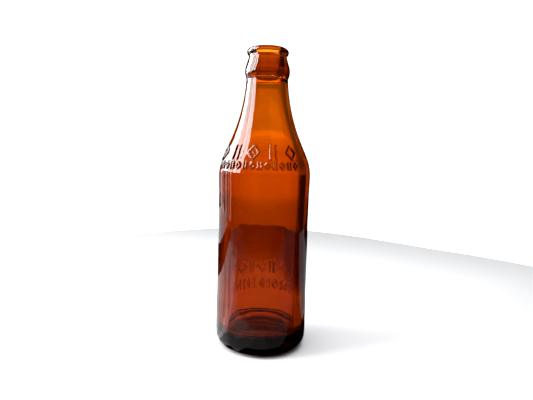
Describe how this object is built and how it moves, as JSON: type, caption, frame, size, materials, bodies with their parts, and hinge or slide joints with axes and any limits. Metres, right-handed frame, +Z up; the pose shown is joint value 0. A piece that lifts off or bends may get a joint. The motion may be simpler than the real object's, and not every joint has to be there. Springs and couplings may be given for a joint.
{
  "type": "glass bottle",
  "caption": "Thick-walled amber glass bottle with a long sloping shoulder and a crown finish; open at the mouth, hollow inside, stands on a bearing ring.",
  "frame": {"origin": "centre of the bearing ring that the bottle stands on", "axes": "+Z up along the bottle's axis, to the mouth; -Y is the front, where the shoulder carries its raised ornament"},
  "size_m": [0.059, 0.059, 0.1915],
  "materials": {
    "amber_glass": "polished, see-through amber"
  },
  "bodies": {
    "root": {"base": "amber_glass", "body_wall": "amber_glass", "shoulder": "amber_glass", "neck": "amber_glass", "crown_finish": "amber_glass"}
  },
  "joints": []
}
